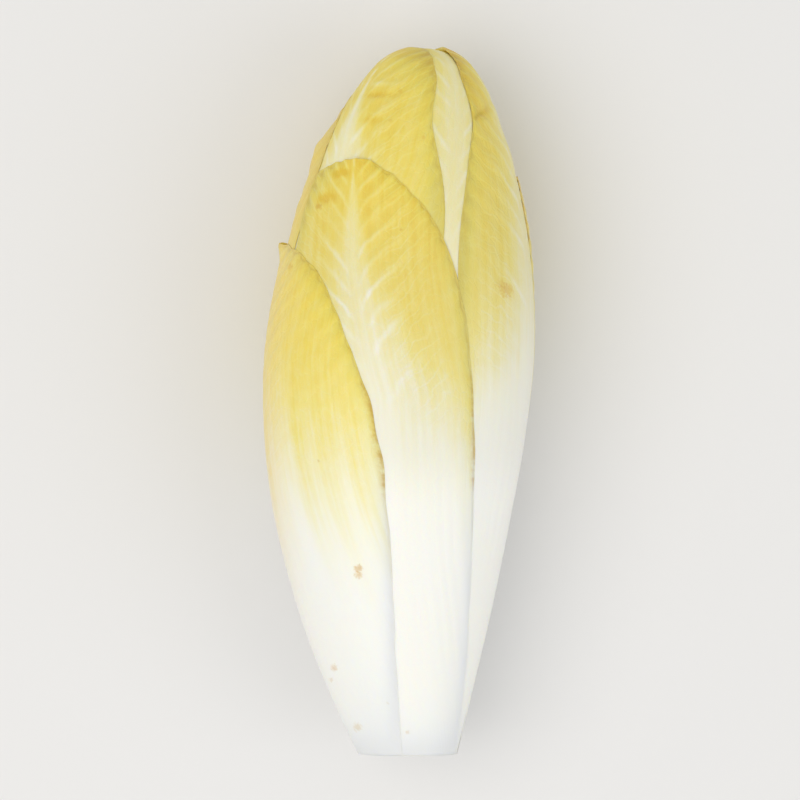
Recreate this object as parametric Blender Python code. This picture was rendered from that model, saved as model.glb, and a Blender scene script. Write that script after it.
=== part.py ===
"""A head of Belgian endive, lying on its side as picked and trimmed.

A short stem carries fourteen leaves in a golden-angle spiral, and a furled heart stands on its
end. Every leaf is a shell that wraps over the ones inside it.

Metres. +Y runs from the cut stem to the tip, +Z is up, and the head rests on z = 0.
Angles round the head start at the top (+Z) and grow towards +X.
Heights t are shares of the head's length above the cut.
"""

import math

import bmesh
import bpy
import numpy as np

MM = 0.001

# The head's outer form
HEAD_LENGTH = 138 * MM
HEAD_RADIUS = 26.2 * MM  # across, where it is widest
HEIGHT_SHARE = 0.93  # upright radius over the radius across
WIDEST = 0.55
CUT_SHARE = 0.37  # radius at the cut over the largest radius
LOWER_POWER = 1.75
UPPER_POWER = 1.7
UPPER_ROOT = 0.57
FLAT_SINK = 1.7 * MM  # how much of the belly the resting flat takes off
FLOOR_TO_AXIS = HEAD_RADIUS * HEIGHT_SHARE - FLAT_SINK
CUT_Y = -68.05 * MM

# The head bends: how far over its axis is at the cut, at BEND_AT and at the tip
BEND_AT = 0.34
AXIS_CUT = 1.5 * MM
AXIS_BEND = -1.3 * MM
AXIS_TIP = 4.8 * MM

# The spiral
GOLDEN_ANGLE = math.radians(137.508)
FRONT_LEAF = 3  # the leaf whose midrib rises along the top of the head
FRONT_ANGLE = math.radians(2)
TWIST = math.radians(-17)  # turn of every midrib between the cut and the widest section
FLUSH_LEAVES = 4  # the outermost ones, cut off flush with the stem
LEAF_STEP = 0.02  # rise along the stem from each leaf after them to the next
DRIFT_FROM = 0.45

# Each leaf from the outside in: height of its tip, half widths left and right of the midrib
# (degrees at the widest section), width at its foot over its width above, and drift of the
# midrib at the tip (degrees)
LEAVES = (
    (0.712, 36, 97, 0.29, 0),
    (0.806, 36, 106, 0.56, -26),
    (0.826, 56, 54, 0.50, -24),
    (0.925, 62, 98, 0.34, -2),
    (0.985, 45, 66, 0.45, 33),
    (0.985, 80, 86, 0.40, -18),
    (0.990, 74, 70, 0.40, 8),
    (0.990, 66, 64, 0.40, 24),
    (0.985, 74, 70, 0.40, 12),
    (0.930, 78, 76, 0.40, -10),
    (0.890, 82, 80, 0.40, 8),
    (0.870, 86, 84, 0.50, -8),
    (0.820, 92, 90, 0.45, 10),
    (0.745, 96, 96, 0.50, 0),
)
FOOT_WIDTH_TOP = 0.5  # a leaf has its full width from this height on
MOST_SPREAD = math.radians(150)
OUTLINE_ACROSS = 2.6  # outline: across^2.6 + along^3.4 = 1
OUTLINE_ALONG = 3.4

# The flesh of the leaves
GAP = 0.65 * MM  # air between neighbouring leaves
EDGE = 0.65 * MM
BLADE = 1.0 * MM
FOOT_THICK = 1.2 * MM
FOOT_RISE = 0.2  # height over which a leaf thickens from its foot
RIB_THICK = (3.2 * MM, 0.9 * MM)  # midrib at the foot and at the tip
RIB_HALF = (9 * MM, 3 * MM)
EDGE_TAPER = 8 * MM
RIB_PROUD = 0.5 * MM  # how far a midrib stands out where nothing covers it
EDGE_LIFT = 0.4 * MM  # how far a margin stands off where nothing covers it
TUCK_START = 1.6 * MM  # this far beyond an outer margin, an inner leaf starts to come out
TUCK_FALL = 10 * MM  # and it is out after this much more
FOOT_SHORTER = 1.8  # below a foot both distances are this many times shorter

# The stem and the heart
STEM_TOP = 0.3
HEART_FOOT = STEM_TOP + 0.01
HEART_TIP = 0.88
HEART_SHOULDER = 5.5 * MM  # how much its tip is drawn in
HEART_FOLDS = 5
HEART_FOLD_DEPTH = 0.8 * MM
HEART_TWIST = 2.2

# Facets: columns and rows
OUTER_LEAVES = 8
OUTER_GRID = (15, 20)
INNER_GRID = (12, 14)
END_CROWDING = 0.3  # how much closer the rows lie at a leaf's foot and tip
STEM_GRID = (30, 8)
HEART_GRID = (30, 16)

WHITE = (0.88, 0.88, 0.78, 1)
CREAM = (0.86, 0.80, 0.52, 1)
YELLOW = (0.84, 0.70, 0.22, 1)


def ease(x):
    """0 below 0, 1 above 1, and smooth between."""
    x = np.clip(x, 0, 1)
    return x * x * (3 - 2 * x)


def mix(a, b, x):
    return a + (b - a) * x


def head_radius(t):
    """Half the head's width."""
    low = np.clip((WIDEST - t) / WIDEST, 0, 1)
    high = np.clip((t - WIDEST) / (1 - WIDEST), 0, 1)
    lower = 1 - (1 - CUT_SHARE) * low**LOWER_POWER
    return HEAD_RADIUS * lower * (1 - high**UPPER_POWER) ** UPPER_ROOT


def axis_x(t):
    above = np.clip((t - BEND_AT) / (1 - BEND_AT), 0, 1)
    below = np.clip((BEND_AT - t) / BEND_AT, 0, 1)
    return AXIS_BEND + (AXIS_TIP - AXIS_BEND) * above**1.3 + (AXIS_CUT - AXIS_BEND) * below**2


def lean(t):
    """The angle by which the way into the head tips towards the cut: nil below WIDEST."""
    step = 0.002
    t = np.minimum(t, 1 - 2 * step)
    fall = head_radius(t - step) - head_radius(t + step)
    return np.arctan(np.maximum(fall, 0) / (2 * step * HEAD_LENGTH)) * (t > WIDEST)


def place(theta, t, depth):
    """The point this deep under the head's outer form."""
    across = head_radius(t)
    upright = across * HEIGHT_SHARE
    form = across * upright / np.hypot(upright * np.sin(theta), across * np.cos(theta))
    form = np.minimum(form, FLOOR_TO_AXIS / np.maximum(-np.cos(theta), 0.01))
    tip = lean(t)
    r = form - depth * np.cos(tip)
    x = axis_x(t) + r * np.sin(theta)
    y = CUT_Y + t * HEAD_LENGTH - depth * np.sin(tip)
    z = np.maximum(FLOOR_TO_AXIS + r * np.cos(theta), 0)
    return np.stack([x, y, z], axis=-1)


class Leaf:
    """One leaf of the spiral, as functions of the angle round the head and of the height."""

    def __init__(self, number):
        self.tip, left, right, self.foot_width, drift = LEAVES[number - 1]
        self.number = number
        self.foot = LEAF_STEP * max(number - FLUSH_LEAVES, 0)
        self.halves = math.radians(left), math.radians(right)
        self.drift = math.radians(drift)
        self.azimuth = FRONT_ANGLE + GOLDEN_ANGLE * (FRONT_LEAF - number)

    def midrib(self, t):
        above = np.clip((t - DRIFT_FROM) / (self.tip - DRIFT_FROM), 0, 1)
        return self.azimuth + TWIST * np.minimum(t / WIDEST, 1) + self.drift * above**3

    def along(self, t):
        return np.clip((t - self.foot) / (self.tip - self.foot), 0, 1.3)

    def spread(self, t, side):
        """Half width as an angle, before the tip rounds it off."""
        wide = np.where(side > 0, self.halves[1], self.halves[0])
        wide = wide * mix(1, self.foot_width, np.clip(1 - t / FOOT_WIDTH_TOP, 0, 1) ** 1.4)
        return wide * HEAD_RADIUS / head_radius(np.minimum(t, 0.99))

    def turn(self, theta, t):
        """Angle from the midrib, from -pi to pi."""
        return (theta - self.midrib(t) + math.pi) % (2 * math.pi) - math.pi

    def beyond(self, theta, t):
        """Distance outside the leaf's outline, and below nil inside it."""
        turn = self.turn(theta, t)
        spread = self.spread(t, turn)
        x, s = np.abs(turn) / spread, self.along(t)
        over = x**OUTLINE_ACROSS + s**OUTLINE_ALONG - 1
        radius = head_radius(np.minimum(t, 0.985))
        per_x = OUTLINE_ACROSS * x ** (OUTLINE_ACROSS - 1) / (spread * radius)
        length = (self.tip - self.foot) * HEAD_LENGTH
        per_s = OUTLINE_ALONG * s ** (OUTLINE_ALONG - 1) / length
        out = over / np.maximum(np.hypot(per_x, per_s), 1 / HEAD_RADIUS)
        return np.maximum(out, FOOT_SHORTER * (self.foot - t) * HEAD_LENGTH)

    def cover(self, theta, t):
        """1 where the leaf lies, and falling to 0 beyond its margin."""
        return 1 - ease((self.beyond(theta, t) - TUCK_START) / TUCK_FALL)

    def rib(self, theta, t):
        """1 along the midrib, and falling to 0 in the blade."""
        reach = np.abs(self.turn(theta, t)) * head_radius(np.minimum(t, 0.99))
        return np.exp(-((reach / mix(*RIB_HALF, np.minimum(self.along(t), 1))) ** 2))

    def thickness(self, theta, t):
        blade = mix(EDGE, BLADE, ease(-self.beyond(theta, t) / EDGE_TAPER))
        rib = mix(*RIB_THICK, np.minimum(self.along(t), 1))
        thick = mix(blade, rib, self.rib(theta, t))
        return mix(FOOT_THICK, thick, ease((t - self.foot) / FOOT_RISE))


SPIRAL = [Leaf(number) for number in range(1, len(LEAVES) + 1)]


def depth_under(leaves, theta, t):
    """Depth to which these leaves, and the air under each, push what lies inside them."""
    return sum((leaf.thickness(theta, t) + GAP) * leaf.cover(theta, t) for leaf in leaves)


def bare(leaves, theta, t):
    """1 where none of these leaves lies near, and 0 under them."""
    return math.prod(1 - leaf.cover(theta, t) for leaf in leaves)


def outline_place(leaf, u, v):
    """Lays the square u -1 to 1, v 0 to 1 inside the leaf's outline."""
    rim = np.maximum(np.maximum(np.abs(u), v), 1e-9)
    low, high = np.full(u.shape, 0.5), np.ones(u.shape)
    for _ in range(30):
        middle = (low + high) / 2
        x, s = middle * np.abs(u) / rim, middle * v / rim
        outside = x**OUTLINE_ACROSS + s**OUTLINE_ALONG > 1
        low, high = np.where(outside, low, middle), np.where(outside, middle, high)
    t = mix(leaf.foot, leaf.tip, low * v)
    return leaf.midrib(t) + np.clip(low * u * leaf.spread(t, u), -MOST_SPREAD, MOST_SPREAD), t


def leaf_faces(leaf, u, v):
    """Points of the leaf's outer and inner face."""
    outside = SPIRAL[: leaf.number - 1]
    theta, t = outline_place(leaf, u, v)
    depth = depth_under(outside, theta, t)
    free = bare(outside, theta, t) * ease((t - leaf.foot) / FOOT_RISE)
    lift = free * EDGE_LIFT * ease(1 + leaf.beyond(theta, t) / EDGE_TAPER)
    proud = free * RIB_PROUD * leaf.rib(theta, t)
    inner = depth + leaf.thickness(theta, t) - lift
    return place(theta, t, depth - lift - proud), place(theta, t, inner)


def add_object(name, bm, colour, collection):
    mesh = bpy.data.meshes.new(name)
    bm.to_mesh(mesh)
    bm.free()
    mesh.shade_smooth()
    material = bpy.data.materials.new(name)
    material.use_nodes = True
    shader = material.node_tree.nodes["Principled BSDF"]
    shader.inputs["Base Color"].default_value = colour
    shader.inputs["Roughness"].default_value = 0.45
    mesh.materials.append(material)
    collection.objects.link(bpy.data.objects.new(name, mesh))


def make_leaf(leaf, collection):
    """A flat slab of one layer, whose bottom and top are bent into the leaf's inner and outer face."""
    columns, rows = OUTER_GRID if leaf.number <= OUTER_LEAVES else INNER_GRID
    bm = bmesh.new()
    bmesh.ops.create_grid(bm, x_segments=columns, y_segments=rows, size=1)
    to_corner = [f for f in bm.faces if math.prod(f.calc_center_median()[:2]) > 0]
    bmesh.ops.triangulate(bm, faces=to_corner, quad_method="FIXED")
    bmesh.ops.triangulate(bm, faces=bm.faces[:], quad_method="ALTERNATE")
    layer = bmesh.ops.extrude_face_region(bm, geom=bm.faces[:])["geom"]
    top = [item for item in layer if isinstance(item, bmesh.types.BMVert)]
    bmesh.ops.translate(bm, verts=top, vec=(0, 0, 1))
    bmesh.ops.recalc_face_normals(bm, faces=bm.faces[:])
    slab = np.array([vert.co for vert in bm.verts])
    v = (slab[:, 1] + 1) / 2
    outer, inner = leaf_faces(leaf, slab[:, 0], mix(v, (1 - np.cos(math.pi * v)) / 2, END_CROWDING))
    for vert, point in zip(bm.verts, np.where(slab[:, 2:] > 0.5, outer, inner)):
        vert.co = point
    add_object(f"leaf_{leaf.number:02d}", bm, CREAM if leaf.number < 4 else YELLOW, collection)


def make_column(name, grid, foot, tip, dent, colour, collection):
    """A closed column inside all the leaves, dented where the function given says so."""
    columns, rows = grid
    angles = np.arange(columns) * 2 * math.pi / columns
    bm = bmesh.new()
    ends = []
    loops = []
    for t in np.linspace(foot, tip, rows):
        depth = depth_under(SPIRAL, angles, np.full(columns, t)) + dent(angles, t)
        points = place(angles, np.full(columns, t), depth)
        loops.append([bm.verts.new(point) for point in points])
        ends.append(points.mean(axis=0))
    for low, high in zip(loops, loops[1:]):
        for i in range(columns):
            j = (i + 1) % columns
            bm.faces.new((low[i], low[j], high[j]))
            bm.faces.new((low[i], high[j], high[i]))
    for loop, middle in ((loops[0], ends[0]), (loops[-1], ends[-1])):
        centre = bm.verts.new(middle)
        for i in range(columns):
            bm.faces.new((loop[i], loop[(i + 1) % columns], centre))
    bmesh.ops.recalc_face_normals(bm, faces=bm.faces[:])
    add_object(name, bm, colour, collection)


def heart_dent(angles, t):
    share = (t - HEART_FOOT) / (HEART_TIP - HEART_FOOT)
    folds = np.cos(HEART_FOLDS * angles + HEART_TWIST * share * math.pi)
    return GAP + HEART_SHOULDER * share**6 + HEART_FOLD_DEPTH * (1 + folds) / 2


def main():
    for obj in list(bpy.data.objects):
        bpy.data.objects.remove(obj, do_unlink=True)
    collection = bpy.data.collections.new("belgian_endive")
    bpy.context.scene.collection.children.link(collection)
    make_column("stem", STEM_GRID, 0, STEM_TOP, lambda a, t: 0 * a, WHITE, collection)
    for leaf in SPIRAL:
        make_leaf(leaf, collection)
    make_column("heart", HEART_GRID, HEART_FOOT, HEART_TIP, heart_dent, YELLOW, collection)


main()
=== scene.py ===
import math

import bpy
import numpy as np
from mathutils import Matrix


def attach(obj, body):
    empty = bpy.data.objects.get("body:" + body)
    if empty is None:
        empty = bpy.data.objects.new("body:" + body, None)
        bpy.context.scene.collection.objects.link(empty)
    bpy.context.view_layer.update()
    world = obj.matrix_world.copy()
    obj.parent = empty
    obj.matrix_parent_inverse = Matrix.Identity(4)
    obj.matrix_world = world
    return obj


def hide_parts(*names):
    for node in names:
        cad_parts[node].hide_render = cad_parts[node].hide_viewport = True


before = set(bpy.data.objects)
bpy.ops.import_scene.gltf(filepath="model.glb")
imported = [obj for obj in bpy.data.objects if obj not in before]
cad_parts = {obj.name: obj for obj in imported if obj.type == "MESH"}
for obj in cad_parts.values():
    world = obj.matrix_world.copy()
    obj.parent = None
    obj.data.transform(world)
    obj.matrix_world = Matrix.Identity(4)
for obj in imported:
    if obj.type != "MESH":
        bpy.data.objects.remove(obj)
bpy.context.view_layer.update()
MM = 0.001

# The table, the daylight and the camera.
# A matt white board lies under the head. A broad soft light stands over its left shoulder, a
# second one fills from the right, and the camera hangs straight above on a long lens.
TABLE_SIDE, TABLE_TOP = 4, -0.4 * MM
scene = bpy.context.scene
scene.view_settings.view_transform = "Standard"
world = bpy.data.worlds.new("pale_room")
world.use_nodes = True
daylight = world.node_tree.nodes["Background"]
daylight.inputs["Color"].default_value = (1, 0.995, 0.965, 1)
daylight.inputs["Strength"].default_value = 0.74
scene.world = world

bpy.ops.object.select_all(action="DESELECT")
bpy.ops.mesh.primitive_plane_add(size=TABLE_SIDE, location=(0, 0, TABLE_TOP))
table = bpy.context.object
table.name = "table"
board = bpy.data.materials.new("white_board")
board.use_nodes = True
paint = board.node_tree.nodes["Principled BSDF"]
paint.inputs["Base Color"].default_value = (0.78, 0.78, 0.79, 1)
paint.inputs["Roughness"].default_value = 0.8
table.data.materials.append(board)


def soft_light(name, location, size, power, warmth):
    """A round light aimed at the head, white at a warmth of 0 and yellower above."""
    bpy.ops.object.light_add(type="AREA", location=location)
    lamp = bpy.context.object
    lamp.name = name
    lamp.data.shape = "DISK"
    lamp.data.size = size
    lamp.data.energy = power
    lamp.data.color = (1, 1 - 0.06 * warmth, 1 - 0.14 * warmth)
    aim = -lamp.location.normalized()
    lamp.rotation_euler = aim.to_track_quat("-Z", "Y").to_euler()


soft_light("window", (-0.4, -0.12, 0.92), size=0.9, power=3.3, warmth=0.6)
soft_light("reflector", (0.7, -0.3, 0.7), size=0.7, power=1.3, warmth=0)

CAMERA_HEIGHT = 1.3
VIEW_SIDE, VIEW_LEVEL = 0.153, 0.03  # side of the square view, at this level above the table
camera = bpy.data.objects.new("camera", bpy.data.cameras.new("camera"))
scene.collection.objects.link(camera)
camera.location = (0, 0, CAMERA_HEIGHT)
camera.data.lens = camera.data.sensor_width * (CAMERA_HEIGHT - VIEW_LEVEL) / VIEW_SIDE
scene.camera = camera

# The head as a whole.
# The leaves grow pressed together in the dark, so the closed head has one smooth spindle form.
# It bends a little, and its own weight has pressed a small flat on the side that it lies on.
HEAD_LENGTH = 138 * MM
HEAD_RADIUS = 25.79 * MM  # across, where it is widest
HEIGHT_SHARE = 0.93  # upright radius over the radius across
CUT_SHARE = 0.37  # radius at the cut over the largest radius
# heights from here on are shares of the length above the cut, if not said otherwise
WIDEST = 0.55
BEND_AT = 0.34
DOME, CLOSED = 0.955, 0.99  # where the end starts to round over, and where its radius is nil
LOWER_POWER = 1.75
UPPER_POWER, UPPER_ROOT = 1.75, 0.55
SOLID_RADIUS, FLAT_SINK = 26.2 * MM, 1.7 * MM  # the axis lies as high as that of the solids
FLOOR_TO_AXIS = SOLID_RADIUS * HEIGHT_SHARE - FLAT_SINK
CUT_Y = -68.05 * MM
AXIS_CUT, AXIS_BEND, AXIS_TIP = 1.5 * MM, -1.3 * MM, 4.8 * MM
SLOPE_STEP, SLOPE_TOP = 0.002, 0.996  # for the slope of the head's side


def head_radius(t):
    """Half the head's width, t being the share of its length above the cut."""
    low = np.clip((WIDEST - t) / WIDEST, 0, 1)
    high = np.clip((t - WIDEST) / (1 - WIDEST), 0, 1)
    dome = np.clip((t - DOME) / (CLOSED - DOME), 0, 1)
    lower = 1 - (1 - CUT_SHARE) * low**LOWER_POWER
    form = lower * (1 - high**UPPER_POWER) ** UPPER_ROOT
    return HEAD_RADIUS * form * (1 - dome**3) ** 0.5


def axis_x(t):
    """How far the head's axis lies to the right."""
    above = np.clip((t - BEND_AT) / (1 - BEND_AT), 0, 1)
    below = np.clip((BEND_AT - t) / BEND_AT, 0, 1)
    return AXIS_BEND + (AXIS_TIP - AXIS_BEND) * above**1.3 + (AXIS_CUT - AXIS_BEND) * below**2


def lean(t):
    """The angle by which the way into the head tips towards the cut: nil below the widest."""
    t = np.minimum(t, SLOPE_TOP)
    fall = head_radius(t - SLOPE_STEP) - head_radius(t + SLOPE_STEP)
    return np.arctan(np.maximum(fall, 0) / (2 * SLOPE_STEP * HEAD_LENGTH)) * (t > WIDEST)


def place(theta, t, depth):
    """The point this deep under the head's outer form, theta being 0 at the top."""
    across = head_radius(t)
    upright = across * HEIGHT_SHARE
    form = across * upright / np.hypot(upright * np.sin(theta), across * np.cos(theta))
    form = np.minimum(form, FLOOR_TO_AXIS / np.maximum(-np.cos(theta), 0.01))
    tip = lean(t)
    r = form - depth * np.cos(tip)
    x = axis_x(t) + r * np.sin(theta)
    y = CUT_Y + t * HEAD_LENGTH - depth * np.sin(tip)
    z = np.maximum(FLOOR_TO_AXIS + r * np.cos(theta), 0)
    return np.stack([x, y, z], axis=-1)


# The spiral of leaves.
# Each leaf springs from the stem a golden angle round from the last and a little higher, and
# wraps over the ones inside it. These numbers are its outline, its flesh and how it tucks in.
GOLDEN_ANGLE = math.radians(137.508)
FRONT_LEAF, FRONT_ANGLE = 3, math.radians(2)  # the leaf whose midrib runs along the top
TWIST = math.radians(-17)  # turn of every midrib between the cut and the widest section
DRIFT_FROM = 0.45
FLUSH_LEAVES = 6  # the outermost ones, cut off flush with the stem
LEAF_STEP = 0.02  # rise from the foot of each leaf after them to the next
# Each leaf from the outside in: height of its tip, half widths left and right of the midrib
# (degrees at the widest section), width at its foot over its width above, and drift of the
# midrib at the tip (degrees). Known fault: leaves 8 and 9 reach past CLOSED, where the radius is
# nil, and the last few points at their tips get no finite place there.
LEAVES = (
    (0.712, 36, 97, 0.29, 0),
    (0.806, 36, 106, 0.48, -26),
    (0.826, 56, 54, 0.50, -24),
    (0.936, 62, 93, 0.34, -2),
    (0.984, 47.5, 66, 0.45, 33),
    (0.985, 80, 86, 0.40, -12),
    (0.988, 74, 70, 0.40, 8),
    (0.991, 66, 64, 0.40, 24),
    (0.991, 74, 70, 0.40, 12),
    (0.990, 78, 76, 0.40, -10),
    (0.890, 82, 80, 0.40, 8),
    (0.870, 86, 84, 0.50, -8),
    (0.820, 92, 90, 0.45, 10),
    (0.745, 96, 96, 0.50, 0),
)
FOOT_WIDTH_TOP = 0.5  # a leaf has its full width from this height on
WIDTH_TOP = 0.99  # and no wider an angle above this one than at it
NEAR_TIP = 0.985  # measures on the surface take no radius from above this height
OUTLINE_ACROSS, OUTLINE_ALONG = 2.6, 3.4  # outline: across^2.6 + along^3.4 = 1
OUTLINE_HALVINGS = 24
FOOT_STEEPNESS = 1.8
RIM_POWER = 6  # how closely a ragged margin keeps to the rim
MOST_TURN = 2.6
# Where two values stand, the first is for the foot and the second for the rest or the tip.
GAP = (0.01 * MM, 0.02 * MM)  # air between neighbouring leaves
EDGE = (0.05 * MM, 0.09 * MM)
BLADE = 0.95 * MM
FOOT_THICK = 0.08 * MM
FOOT_RISE = 0.2  # a leaf has its full thickness this far above its foot
RIB_THICK = (3.2 * MM, 0.9 * MM)
RIB_HALF = (9 * MM, 3 * MM)
EDGE_TAPER = 6 * MM
TUCK_START, TUCK_FALL = 0.1 * MM, 7 * MM  # how far past its margin a leaf holds others down


def ease(x):
    """0 below 0, 1 above 1, and smooth between."""
    x = np.clip(x, 0, 1)
    return x * x * (3 - 2 * x)


def mix(a, b, x):
    return a + (b - a) * x


def loosen(ends, t):
    """Leaves lie closer together at the foot than above."""
    return mix(*ends, ease((t - 0.25) / 0.3))


def turn_from(start, theta):
    """The angle from one bearing round the head to another, from -pi to pi."""
    return (theta - start + math.pi) % math.tau - math.pi


class Leaf:
    """One leaf, as functions of the angle round the head and of the height."""

    def __init__(self, number):
        self.tip, left, right, self.foot_width, drift = LEAVES[number - 1]
        self.number = number
        self.foot = LEAF_STEP * max(number - FLUSH_LEAVES, 0)
        self.halves = math.radians(left), math.radians(right)
        self.drift = math.radians(drift)
        self.azimuth = FRONT_ANGLE + GOLDEN_ANGLE * (FRONT_LEAF - number)

    def midrib(self, t):
        above = np.clip((t - DRIFT_FROM) / (self.tip - DRIFT_FROM), 0, 1)
        return self.azimuth + TWIST * np.minimum(t / WIDEST, 1) + self.drift * above**3

    def along(self, t):
        """0 at the foot, 1 at the tip."""
        return np.clip((t - self.foot) / (self.tip - self.foot), 0, 1.3)

    def spread(self, t, side):
        """Half width as an angle, before the tip rounds it off."""
        wide = np.where(side > 0, self.halves[1], self.halves[0])
        wide = wide * mix(1, self.foot_width, np.clip(1 - t / FOOT_WIDTH_TOP, 0, 1) ** 1.4)
        return wide * HEAD_RADIUS / head_radius(np.minimum(t, WIDTH_TOP))

    def turn(self, theta, t):
        """Angle from the midrib, from -pi to pi."""
        return turn_from(self.midrib(t), theta)

    def beyond(self, theta, t):
        """Distance outside the outline, and below nil inside it."""
        turn = self.turn(theta, t)
        spread = self.spread(t, turn)
        x, s = np.abs(turn) / spread, self.along(t)
        radius = head_radius(np.minimum(t, NEAR_TIP))
        length = (self.tip - self.foot) * HEAD_LENGTH
        per_x = OUTLINE_ACROSS * x ** (OUTLINE_ACROSS - 1) / (spread * radius)
        per_s = OUTLINE_ALONG * s ** (OUTLINE_ALONG - 1) / length
        over = x**OUTLINE_ACROSS + s**OUTLINE_ALONG - 1
        out = over / np.maximum(np.hypot(per_x, per_s), 1 / HEAD_RADIUS)
        return np.maximum(out, FOOT_STEEPNESS * (self.foot - t) * HEAD_LENGTH)

    def cover(self, theta, t):
        """1 where the leaf lies, and falling to 0 beyond its margin."""
        return 1 - ease((self.beyond(theta, t) - TUCK_START) / TUCK_FALL)

    def rib(self, theta, t):
        """1 along the midrib, and falling to 0 in the blade."""
        reach = np.abs(self.turn(theta, t)) * head_radius(np.minimum(t, WIDTH_TOP))
        return np.exp(-((reach / mix(*RIB_HALF, np.minimum(self.along(t), 1))) ** 2))

    def thickness(self, theta, t):
        blade = mix(loosen(EDGE, t), BLADE, ease(-self.beyond(theta, t) / EDGE_TAPER))
        rib = mix(*RIB_THICK, np.minimum(self.along(t), 1))
        thick = mix(blade, rib, self.rib(theta, t))
        return mix(FOOT_THICK, thick, ease((t - self.foot) / FOOT_RISE))


spiral = [Leaf(number) for number in range(1, len(LEAVES) + 1)]


def depth_under(leaves, theta, t):
    """Depth to which these leaves, and the air under each, push what lies inside them."""
    air = loosen(GAP, t)
    return sum((leaf.thickness(theta, t) + air) * leaf.cover(theta, t) for leaf in leaves)


def bare(leaves, theta, t):
    """1 where none of these leaves lies near, and 0 under them."""
    return math.prod(1 - leaf.cover(theta, t) for leaf in leaves) * np.ones(theta.shape)


def outline_place(leaf, u, v, nibble):
    """Lays the square u -1 to 1, v 0 to 1 inside the outline, drawn in by nibble at the rim."""
    rim = np.maximum(np.maximum(np.abs(u), v), 1e-9)
    low, high = np.full(u.shape, 0.5), np.ones(u.shape)
    for _ in range(OUTLINE_HALVINGS):
        middle = (low + high) / 2
        reached = (middle * np.abs(u) / rim) ** OUTLINE_ACROSS
        outside = reached + (middle * v / rim) ** OUTLINE_ALONG > 1
        low, high = np.where(outside, low, middle), np.where(outside, middle, high)
    drawn = nibble * rim**RIM_POWER
    t = mix(leaf.foot, leaf.tip, low * v * (1 - drawn / ((leaf.tip - leaf.foot) * HEAD_LENGTH)))
    spread = leaf.spread(t, u)
    wide = spread * head_radius(np.minimum(t, NEAR_TIP))
    turn = low * u * spread * (1 - drawn / wide)
    return leaf.midrib(t) + np.clip(turn, -MOST_TURN, MOST_TURN), t


# The flesh of the leaves.
# Forced chicory: crisp white petioles that turn cream, then yellow, where a blade spreads from
# them. Pale veins leave the midrib in pairs and curve out and up, and margins brown a little.


class Flow:
    """A socket of the material being made. Arithmetic on it adds Math nodes to that material."""

    def __init__(self, tree, socket=None):
        self.tree, self.socket = tree, socket

    def node(self, kind, settings, sockets, out=0):
        """Adds a node: its settings first, then the values or links of its sockets."""
        made = self.tree.nodes.new(kind)
        for name, value in settings.items():
            if name == "stops":
                while len(made.color_ramp.elements) < len(value):
                    made.color_ramp.elements.new(1)
                for stop, (position, colour) in zip(made.color_ramp.elements, value):
                    stop.position, stop.color = position, colour
            else:
                setattr(made, name, value)
        for name, value in sockets.items():
            if isinstance(value, Flow):
                self.tree.links.new(value.socket, made.inputs[name])
            else:
                made.inputs[name].default_value = value
        return Flow(self.tree, made.outputs[out])

    def math(self, operation, *values):
        return self.node("ShaderNodeMath", {"operation": operation}, dict(enumerate(values)))

    def __add__(self, other):
        return self.math("ADD", self, other)

    def __sub__(self, other):
        return self.math("SUBTRACT", self, other)

    def __rsub__(self, other):
        return self.math("SUBTRACT", other, self)

    def __mul__(self, other):
        return self.math("MULTIPLY", self, other)

    __radd__, __rmul__ = __add__, __mul__

    def step(self, low, high):
        """0 at low, 1 at high, and smooth between."""
        ends = {"Value": self, "From Min": low, "From Max": high}
        return self.node("ShaderNodeMapRange", {"interpolation_type": "SMOOTHSTEP"}, ends)

    def tint(self, share, colour):
        """This colour with a share of another laid over it."""
        return self.node("ShaderNodeMix", {"data_type": "RGBA"}, {0: share, 6: self, 7: colour}, 2)

    def lay(self, x, y):
        """A place on a flat pattern."""
        return self.node("ShaderNodeCombineXYZ", {}, {"X": x, "Y": y})

    def noise(self, scale, detail=2):
        ends = {"Vector": self, "Scale": scale, "Detail": detail}
        return self.node("ShaderNodeTexNoise", {}, ends)

    def cells(self, scale, feature="DISTANCE_TO_EDGE"):
        ends = {"Vector": self, "Scale": scale}
        return self.node("ShaderNodeTexVoronoi", {"feature": feature}, ends)


def dye(red, green, blue):
    """A screen colour, 0 to 255, as the light it stands for."""
    parts = [c / 255 for c in (red, green, blue)]
    return (*[c / 12.92 if c < 0.04 else ((c + 0.055) / 1.055) ** 2.4 for c in parts], 1)


# where the head was knocked or has a rust speck: x, y and radius in mm, and how deep
SPOTS = (
    (-7.9, -32.0, 1.1, 0.55),
    (-7.9, -33.2, 1.0, 0.45),
    (-12.6, -51.2, 0.9, 0.4),
    (-13.2, -53.6, 0.6, 0.25),
    (-8.2, -62.6, 1.1, 0.3),
    (1.4, -63.4, 0.6, 0.25),
    (20.2, 20.9, 1.8, 0.42),
    (19.2, 22, 1.3, 0.25),
    (-15.5, 36.9, 0.9, 0.5),
    (-21.0, 25.5, 0.9, 0.4),
    (0.1, 58.9, 0.6, 0.35),
    (-1.8, 53.2, 0.5, 0.25),
    (4.4, 49.8, 0.7, 0.25),
)
# from white petiole to yellow blade
SHADES = (
    (0.0, dye(244, 244, 239)),
    (0.16, dye(243, 241, 222)),
    (0.36, dye(240, 233, 186)),
    (0.58, dye(238, 224, 138)),
    (0.8, dye(235, 213, 96)),
    (1.0, dye(228, 194, 62)),
)
# The second and third colours here are painted light: a warm glow of light through the head's thin
# flanks, and a grey shade over the top of its middle.
OLIVE, PAINTED_GLOW, PAINTED_SHADE = dye(208, 197, 112), dye(242, 214, 150), dye(168, 168, 150)
RUST = dye(207, 160, 50)
UPPER_SIDE = (0.02, 0.024)  # bruises fade in between these levels above the table
RELIEF_DEPTH = 0.4 * MM

flesh = bpy.data.materials.new("endive_leaf")
flesh.use_nodes = True
skin = flesh.node_tree.nodes["Principled BSDF"]
start = Flow(flesh.node_tree)


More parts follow.
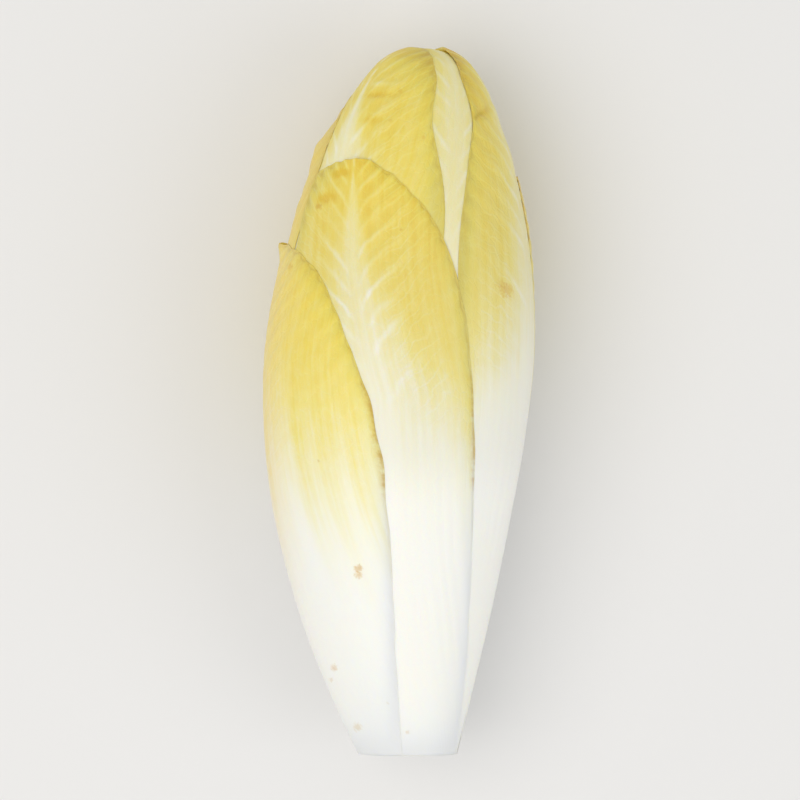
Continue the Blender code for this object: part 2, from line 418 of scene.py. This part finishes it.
def field(name):
    """One of the values that each point of a piece carries."""
    return start.node("ShaderNodeAttribute", {"attribute_name": name}, {}, 2)


across, along, phase = field("across"), field("along"), field("phase")
# Two of these fields carry painted light: a warm glow on the head's flanks and a grey shade over
# its top.
yellow, olive, warm = field("yellow"), field("olive"), field("warm")
dull, brown = field("dull"), field("brown")
reach = across.math("ABSOLUTE", across)
lobe = start.lay(across, along)
thinning = reach * -0.02 + 0.62
thinning = thinning.math("MAXIMUM", thinning, 0.3)


def vein_lines(turn, width):
    """1 along the middle of each lateral vein."""
    part = turn.math("FRACT", turn)
    off = part.math("ABSOLUTE", part - 0.5) * 2
    return 1 - off.step(0, width)


wander = lobe.noise(0.16) - 0.5
swung = phase + wander * 0.7
vein_number = swung.math("FLOOR", swung)
one_axis = {"noise_dimensions": "1D"}
luck = vein_number.node("ShaderNodeTexWhiteNoise", one_axis, {"W": vein_number})
fade = (1 - reach.step(4, 14)) * reach.step(0.3, 2.5)
main_veins = vein_lines(swung, thinning) * (luck * 0.8 + 0.2) * fade
forks = vein_lines(swung * 2 + wander, 0.35) * reach.step(4, 8) * (1 - reach.step(10, 20))
net = 1 - start.lay(across * 0.8, along * 0.45).cells(0.9).step(0, 0.09)
streaks = start.lay(across * 0.9, along * 0.045).noise(1, 3) - 0.5
mottle = lobe.noise(0.3, 3) - 0.5
puckers = start.lay(across * 0.5, along * 0.32).noise(1)
veins = main_veins + forks * 0.4
strength = yellow.step(0.12, 0.5)
shade = yellow + streaks * yellow.step(0.02, 0.25) * 0.34 + mottle * strength * 0.2
shade = shade - veins * strength * 0.26 - net * strength * 0.04
colour = shade.node("ShaderNodeValToRGB", {"stops": SHADES}, {"Fac": shade})
# The last two tints are painted light: a warm glow through the head's flanks and a grey shade over
# its top middle.
colour = colour.tint(olive, OLIVE).tint(warm, PAINTED_GLOW).tint(dull, PAINTED_SHADE)

seen = start.node("ShaderNodeTexCoord", {}, {}, 3)
above = start.node("ShaderNodeSeparateXYZ", {}, {"Vector": seen}, 2).step(*UPPER_SIDE)
flat = {"operation": "MULTIPLY"}
from_above = seen.node("ShaderNodeVectorMath", flat, {0: seen, 1: (1, 1, 0)})


def spot(x, y, size):
    """1 on a small bruise at this place of the head's upper side, in mm."""
    ends = {0: from_above, 1: (x * MM, y * MM, 0)}
    there = seen.node("ShaderNodeVectorMath", {"operation": "DISTANCE"}, ends, 1)
    ragged = there + (lobe.noise(1.5) - 0.5) * (size * 1.5 * MM)
    return (1 - ragged.step(size * 0.2 * MM, size * MM)) * above


specks = start.lay(across * 0.11, along * 0.11).cells(1, "F1")
blots = (1 - specks.step(0.015, 0.05)) * lobe.noise(0.06, 0).step(0.5, 0.62)
stain = brown * lobe.noise(0.6).step(0.25, 0.7) + blots * 0.35
for x, y, size, depth in SPOTS:
    stain = stain + spot(x, y, size) * depth
colour = colour.tint(stain.math("MINIMUM", stain, 1), RUST)
gloss = lobe.noise(0.9) * 0.16 + 0.36
fibres = start.lay(across * 2.6, along * 0.06).noise(1)
grain = lobe.noise(5, 1)
relief = main_veins * strength * 0.35 + forks * strength * 0.15 - net * strength * 0.12
relief = relief + fibres * (1 - strength * 0.7) * 0.16 + grain * 0.1 + puckers * strength * 0.5
ends = {"Strength": 0.5, "Distance": RELIEF_DEPTH, "Height": relief}
bump = relief.node("ShaderNodeBump", {}, ends)
for socket, flow in {"Base Color": colour, "Roughness": gloss, "Normal": bump}.items():
    start.tree.links.new(flow.socket, skin.inputs[socket])
skin.inputs["Subsurface Weight"].default_value = 0.25
skin.inputs["Subsurface Radius"].default_value = (1, 0.72, 0.3)
skin.inputs["Subsurface Scale"].default_value = 1.4 * MM
skin.inputs["IOR"].default_value = 1.4
skin.inputs["Coat Weight"].default_value = 0.06
skin.inputs["Coat Roughness"].default_value = 0.3

# The leaves.
# Each is one slab of that flesh, thick along its midrib and thin at its ragged margin, pressed
# to the ones outside it. Where light and handling reached them they are yellow, brown or torn.

# For the outer ones: heights where yellow starts at the left margin, at the midrib and at the
# right margin, breadth and taper of the pale midrib and how pale it is, depth of yellow left and
# right of it, how olive, how strong the painted warm glow of light through the flanks is, and
# how strong the painted grey shade over the middle of the head is
TINTS = {
    1: (0.305, 0.235, 0.175, 4, 0.9, 0.3, 0.82, 0.76, 0, 0.45, 0),
    2: (0.36, 0.36, 0.32, 12, 0.9, 0.5, 0.70, 0.78, 0, 0.3, 0),
    3: (0.28, 0.275, 0.24, 50, 1.5, 0.5, 0.76, 0.80, 0, 0, 0.15),
    4: (0.36, 0.36, 0.30, 12, 0.9, 0.5, 0.8, 0.86, 0, 0.35, 0),
    5: (0.33, 0.35, 0.42, 11, 0.4, 0.65, 0.82, 0.82, 0.3, 0, 0.12),
    6: (0.36, 0.38, 0.34, 330, 2.2, 0.85, 0.76, 0.76, 0.12, 0, 0),
    8: (0.38, 0.40, 0.38, 10, 0.35, 0.66, 0.66, 0.66, 0.3, 0, 0),
}
PLAIN_TINT = (0.38, 0.42, 0.38, 10, 0.6, 0.5, 0.76, 0.76, 0.12, 0, 0)
GILT_RISE = 0.37  # from where yellow starts, it is full this far above
# where a margin has browned: from and to which height, on which side (0 is both), and how deep
BROWNED = {
    1: ((0.35, 0.54, 1, 0.75), (0.2, 0.26, -1, 0.5)),
    2: ((0.7, 0.83, -1, 1.3),),
    3: ((0.36, 0.54, 1, 0.6),),
    5: ((0.92, 1.0, -1, 0.7),),
    6: ((0.93, 1.0, 0, 0.4),),
}
# where a margin bows in, or out where the last value is below nil: bearing from the leaf's middle
# (nil is its tip), how long, and how far in mm
BAYS = {
    3: ((-0.48, 0.2, -1.6), (-0.85, 0.14, -0.9), (0.45, 0.2, 0.9)),
    5: ((-0.6, 0.09, 1.6), (-0.88, 0.1, -1.2)),
    6: ((0.61, 0.08, 1.1), (0.86, 0.12, -2.2)),
}
# where a blade is creased: degrees round the head, height, slant, half length across and along
# in mm, how deep in mm (below nil it bulges), and how much yellower
CREASES = {
    3: ((-46, 0.806, 0, 2, 0.8, 0.25, 0.35), (-52, 0.772, 0, 2.5, 1, 0.25, 0.35)),
    4: ((-90, 0.842, 0, 8, 4, -1.1, 0),),
    5: (
        (62, 0.895, 0.3, 6, 0.9, 0.7, 0.25),
        (48, 0.93, 0, 4, 2.5, 0.2, 0.2),
        (20, 0.965, 0, 2, 2, 0.1, 0.5),
        (85, 0.868, 0, 8, 5, 0.6, 0),
    ),
    6: (
        (-38, 0.915, 0, 4, 0.6, 0.3, 0.2),
        (-40, 0.93, 0, 3.5, 0.5, -0.25, -0.2),
        (-35, 0.88, 0, 2.5, 0.7, 0.2, 0.2),
    ),
}
# where a tip is torn and a shred stands out: how far off the midrib, how wide and how far, in mm
TORN = {1: ((4, 1.3, 1.5),)}
# how far a midrib strays to the right of the leaf's middle: heights, and how far in mm there
STRAYED = {
    3: ((0.3, 0.4, 0.5, 0.61, 0.68, 0.75, 0.82), (0, 1, 1.5, -1.8, -2.7, -1.6, 0)),
    6: ((0.6, 0.82, 0.91, 0.98), (6.5, 7.3, 4.3, 1.6)),
}
# how far each kind of relief stands out, in mm
RELIEF = {"swell": 0.18, "curl": 0.25, "vein": 0.09, "ridge": 0.02, "rib": 0.32, "rim": -0.12}
RIDGE_PITCH = 2.4
# what is added to a leaf's number to seed each of its random swells
SEEDS = {"fine margin": 40, "streak": 80, "swell": 120, "curl": 160, "midrib": 200}
WAVE_COUNT = 7
BEARING_SCALE = 8  # turns the bearing of a point on the margin into a length for its swells
CLOSE_TIP = 0.98  # leaves that reach this high have an even margin
FRONT_GRID, OUTER_GRID, INNER_GRID = (150, 220), (110, 160), (60, 70)
FRONT_LEAVES, OUTER_LEAVES, WHITE_LEAVES = (1, 3, 5, 6), 8, 2


def waves(x, y, seed):
    """A smooth random swell between about -1 and 1, a few units long."""
    rng = np.random.default_rng(seed)
    total = 0
    for _ in range(WAVE_COUNT):
        angle = rng.uniform(0, math.tau)
        pace = rng.uniform(0.5, 1.6)
        phase = rng.uniform(0, math.tau)
        total = total + np.sin(pace * (math.cos(angle) * x + math.sin(angle) * y) + phase)
    return total / math.sqrt(WAVE_COUNT) / 1.2


def tint_fields(leaf, theta, t, share, across, inset, half, streak):
    """The fields that the leaf's colour follows, and the share of it that is yellow blade."""
    tint = TINTS.get(leaf.number, PLAIN_TINT)
    low_left, low_mid, low_right, breadth, taper, paleness, *rest = tint
    depth_left, depth_right, olive, warm, dull = rest
    q = np.clip(across / half, -1, 1)
    low = low_mid + np.where(q > 0, low_right - low_mid, low_left - low_mid) * np.abs(q) ** 1.5
    gilt = ease((t - low - 0.03 * streak) / GILT_RISE)
    width = breadth * np.clip(1 - share, 0.001, 1) ** taper + 90 * np.maximum(0.56 - share, 0)
    pale = np.exp(-((np.abs(across) / np.maximum(width, 0.2)) ** 2.4))
    cream = paleness * (1.15 - 0.45 * ease((t - 0.45) / 0.35))
    depth = mix(depth_left, depth_right, ease(across / 6 + 0.5))
    tone = depth * gilt * (1 - cream * pale) * mix(0.94, 1.08, ease((share - 0.7) / 0.3))
    tone = tone + 0.07 * ease(1 - inset / 3) * gilt
    aged = 0
    for start_at, end_at, side, deep in BROWNED.get(leaf.number, ()):
        stretch = ease((t - start_at) / 0.03) * ease((end_at - t) / 0.03)
        aged = aged + deep * stretch * (1 if side == 0 else across * side > 0)
    flank = 1 - np.abs(np.cos(theta))
    fields = {
        "yellow": tone,
        "olive": olive * ease((t - 0.5) / 0.3) * np.ones(across.shape),
        # painted light: a warm glow of light through the thin leaf on the head's flanks
        "warm": warm * ease((flank - 0.3) / 0.6) * ease((t - 0.14) / 0.3),
        # painted shade: grey laid over the top of the head's middle stretch, faintest on the
        # flanks
        "dull": dull * ease((t - 0.34) / 0.1) * ease((0.84 - t) / 0.2) * ease(1.6 - flank * 1.2),
        "brown": aged * ease(1 - inset / 2),
    }
    return fields, gilt * (1 - pale)


def stray(leaf, t):
    """How far, in mm, the midrib lies to the right of the leaf's middle."""
    if leaf.number in STRAYED:
        return np.interp(t, *STRAYED[leaf.number])
    return 1.2 * waves(t * 6, 0 * t, leaf.number + SEEDS["midrib"])


def drawn_in(leaf, bearing, v):
    """How far the margin lies inside the plain outline: it is ragged, and bows in and out."""
    round_rim = BEARING_SCALE * bearing
    ragged = waves(round_rim * 1.6, 0 * v, leaf.number)
    ragged = ragged + waves(round_rim * 5, 0 * v, leaf.number + SEEDS["fine margin"])
    evenness = 1 if leaf.tip < CLOSE_TIP else 0.3
    nibble = np.maximum(0.2 + 0.25 * ragged, 0) * ease(v / 0.3) * evenness
    for centre, length, deep in BAYS.get(leaf.number, ()):
        nibble = nibble + deep * np.exp(-(((bearing - centre) / length) ** 2))
    return nibble * MM


def creases(leaf, theta, t):
    """Each crease of the leaf: its depth in mm, how much yellower it is, and 1 along it."""
    radius = head_radius(np.minimum(t, NEAR_TIP))
    for turned, height, slant, wide, long, deep, gilding in CREASES.get(leaf.number, ()):
        aside = turn_from(math.radians(turned), theta) * radius / MM
        up = (t - height) * HEAD_LENGTH / MM - slant * aside
        yield deep, gilding, np.exp(-((aside / wide) ** 2) - (up / long) ** 2)


def leaf_surface(leaf, slab):
    """Where each point of the flat slab goes, and the fields that its colour follows."""
    u = mix(slab[:, 0], slab[:, 0] * (1.5 - 0.5 * slab[:, 0] ** 2), 0.75)
    v = (slab[:, 1] + 1) / 2
    v = mix(v, np.sin(v * math.pi / 2), 0.7)
    bearing = np.arctan2(u, v)
    nibble = drawn_in(leaf, bearing, v)
    theta, t = outline_place(leaf, u, v, nibble)

    # where the point lies on the leaf: in mm right of the midrib, up from the foot and in from
    # the margin, as a share of the leaf's length, and as a count of side veins from the tip
    radius = head_radius(np.minimum(t, NEAR_TIP))
    across = leaf.turn(theta, t) * radius / MM - stray(leaf, t)
    along = (t - leaf.foot) * HEAD_LENGTH / MM
    share = leaf.along(t)
    rim = np.maximum(np.abs(u), v)
    inset = np.maximum(-leaf.beyond(theta, t) - nibble * rim**RIM_POWER, 0) / MM
    half = leaf.spread(t, across) * radius / MM
    off = np.abs(across)
    below = (leaf.tip - t) * HEAD_LENGTH / MM + 0.75 * off + 3 * (1 - np.exp(-off / 3))
    phase = np.maximum(below, 0) ** 0.8 / 1.9 + np.where(across > 0, 0.5, 0) + 7
    streak = waves(across / 1.5, along / 30, leaf.number + SEEDS["streak"])
    fields, blade = tint_fields(leaf, theta, t, share, across, inset, half, streak)
    fields.update(across=across, along=along, phase=phase)

    # how the whole slab swells, curls, tears and creases, where nothing lies on it
    outside = spiral[: leaf.number - 1]
    free = bare(outside, theta, t) * ease((t - leaf.foot) / FOOT_RISE)
    higher = ease((t - 0.22) / 0.2) * ease((0.998 - t) / 0.06)
    swell = 0.1 + RELIEF["swell"] * waves(across / 6, along / 11, leaf.number + SEEDS["swell"])
    curl = waves(BEARING_SCALE * bearing * 1.3, inset / 9, leaf.number + SEEDS["curl"])
    curl = curl * ease(1 - inset / 6)
    form = swell + RELIEF["curl"] * curl * ease((t - 0.3) / 0.3)
    form = np.maximum(form, 0) * ease(inset / 4)
    for at, wide, out in TORN.get(leaf.number, ()):
        shred = np.exp(-(((across - at) / wide) ** 2))
        form = form + out * shred * ease(1 - inset / 3.5) * (share > 0.9)
    for deep, gilding, crease in creases(leaf, theta, t):
        form = form - deep * crease * ease(inset / 4)
        fields["yellow"] = fields["yellow"] + gilding * crease
    form = form * free * higher * MM

    # how its outer face alone stands proud, along the midrib, the veins and the petiole's ridges
    rib = np.exp(-((across * MM / mix(*RIB_HALF, np.minimum(share, 1))) ** 2))
    veining = RELIEF["vein"] * np.cos(math.tau * (phase - 0.5)) * blade
    veining = veining * ease(off / 5) * ease((share - 0.5) / 0.4)
    ridges = RELIEF["ridge"] * np.cos(math.tau * across / RIDGE_PITCH + streak) * (1 - blade)
    proud = RELIEF["rib"] * rib + veining + ridges + RELIEF["rim"] * ease(1 - inset / 0.8) * higher
    proud = proud * free * MM

    depth = depth_under(outside, theta, t)
    blunt = np.maximum(ease(inset / 0.7), ease(1 - (t - leaf.foot) / 0.02))
    thick = leaf.thickness(theta, t) * mix(0.4, 1, np.sqrt(blunt))
    outer = place(theta, t, depth - form - proud)
    inner = place(theta, t, depth - form + thick)
    return np.where(slab[:, 2:] > 0.5, outer, inner), fields


def points_of(piece):
    """The piece's points, one row of x, y and z for each."""
    places = np.empty(len(piece.data.vertices) * 3)
    piece.data.vertices.foreach_get("co", places)
    return places.reshape(-1, 3)


def turn_faces_out():
    """Makes all faces of the piece in edit mode point outwards."""
    bpy.ops.mesh.select_all(action="SELECT")
    bpy.ops.mesh.normals_make_consistent(inside=False)


def dress(piece, fields, node):
    """Gives a piece its fields and its flesh, and lets it stand for its node."""
    for name, values in fields.items():
        piece.data.attributes.new(name, "FLOAT", "POINT").data.foreach_set("value", values)
    piece.data.update()
    bpy.ops.object.shade_smooth()
    piece.name = node + "_flesh"
    piece.data.materials.append(flesh)
    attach(piece, "root")
    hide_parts(node)


def make_leaf(leaf, grid):
    columns, rows = grid
    bpy.ops.object.select_all(action="DESELECT")
    bpy.ops.mesh.primitive_grid_add(x_subdivisions=columns, y_subdivisions=rows, size=2)
    piece = bpy.context.object
    bpy.ops.object.mode_set(mode="EDIT")
    bpy.ops.mesh.select_all(action="SELECT")
    bpy.ops.mesh.extrude_region_move(TRANSFORM_OT_translate={"value": (0, 0, 1)})
    turn_faces_out()
    bpy.ops.object.mode_set(mode="OBJECT")
    points, fields = leaf_surface(leaf, points_of(piece))
    piece.data.vertices.foreach_set("co", points.ravel())
    dress(piece, fields, f"leaf_{leaf.number:02d}")


for leaf in spiral:
    grid = OUTER_GRID if leaf.number <= OUTER_LEAVES else INNER_GRID
    if leaf.number in FRONT_LEAVES:
        grid = FRONT_GRID
    make_leaf(leaf, grid)

# The stem and the heart.
# A short solid cone of white flesh, cut clean across at the foot, carries the leaves, and the
# youngest ones are still furled into a bud on its end.
CORE_COLUMNS = 120
STEM_RINGS, HEART_RINGS = 90, 120
STEM_HEIGHT = 0.3
CUT_FACE, CUT_RIM = 0.28, 0.3  # the first share of the stem's surface is its cut face
HEART_FOOT, HEART_LENGTH = 0.31, 0.57
FOLDS = 5
CUT_SEED, WRINKLE_SEED = 303, 302


def make_core(name, rings, profile, tone):
    """A closed body inside all the leaves. The profile gives height, fullness and extra depth."""
    bpy.ops.object.select_all(action="DESELECT")
    bpy.ops.mesh.primitive_uv_sphere_add(segments=CORE_COLUMNS, ring_count=rings, radius=1)
    piece = bpy.context.object
    ball = points_of(piece)
    angles = np.arctan2(ball[:, 1], ball[:, 0])
    share = 1 - np.arccos(np.clip(ball[:, 2], -1, 1)) / math.pi
    t, fullness, dent = profile(angles, share)
    wall = place(angles, t, depth_under(spiral, angles, t) + dent * MM)
    middle = np.stack([axis_x(t), CUT_Y + t * HEAD_LENGTH, 0 * t + FLOOR_TO_AXIS], axis=-1)
    points = mix(middle, wall, fullness[:, None])
    piece.data.vertices.foreach_set("co", points.ravel())
    bpy.ops.object.mode_set(mode="EDIT")
    turn_faces_out()
    bpy.ops.object.mode_set(mode="OBJECT")
    on_cut, wide = t < 0.001, fullness * 10
    fields = {
        "across": np.where(on_cut, wide * np.sin(angles), angles * 10),
        "along": np.where(on_cut, wide * np.cos(angles), t * HEAD_LENGTH / MM),
        "yellow": tone(t) + 0.1 * on_cut,
        "brown": 0.3 * on_cut * (0.7 + 0.3 * waves(wide * 1.5, 0 * t, CUT_SEED)),
    }
    dress(piece, fields, name)


def stem_profile(angles, share):
    up = np.clip((share - CUT_RIM) / (1 - CUT_RIM), 0, 1)
    fullness = np.minimum(share / CUT_FACE, 1) * (1 - up**14) ** 0.5
    return STEM_HEIGHT * up, fullness, 0 * up


def heart_profile(angles, share):
    folds = 0.4 * (1 + np.cos(FOLDS * angles + 2.2 * math.pi * share))
    wrinkles = 0.1 * waves(angles * 7, share * 9, WRINKLE_SEED)
    fullness = (1 - np.abs(2 * share - 1) ** 9) ** 0.5
    return HEART_FOOT + HEART_LENGTH * share, fullness, 0.2 + 5.5 * share**6 + folds + wrinkles


make_core("stem", STEM_RINGS, stem_profile, lambda t: 0 * t)
make_core("heart", HEART_RINGS, heart_profile, lambda t: 0.7 * ease((t - 0.45) / 0.25))
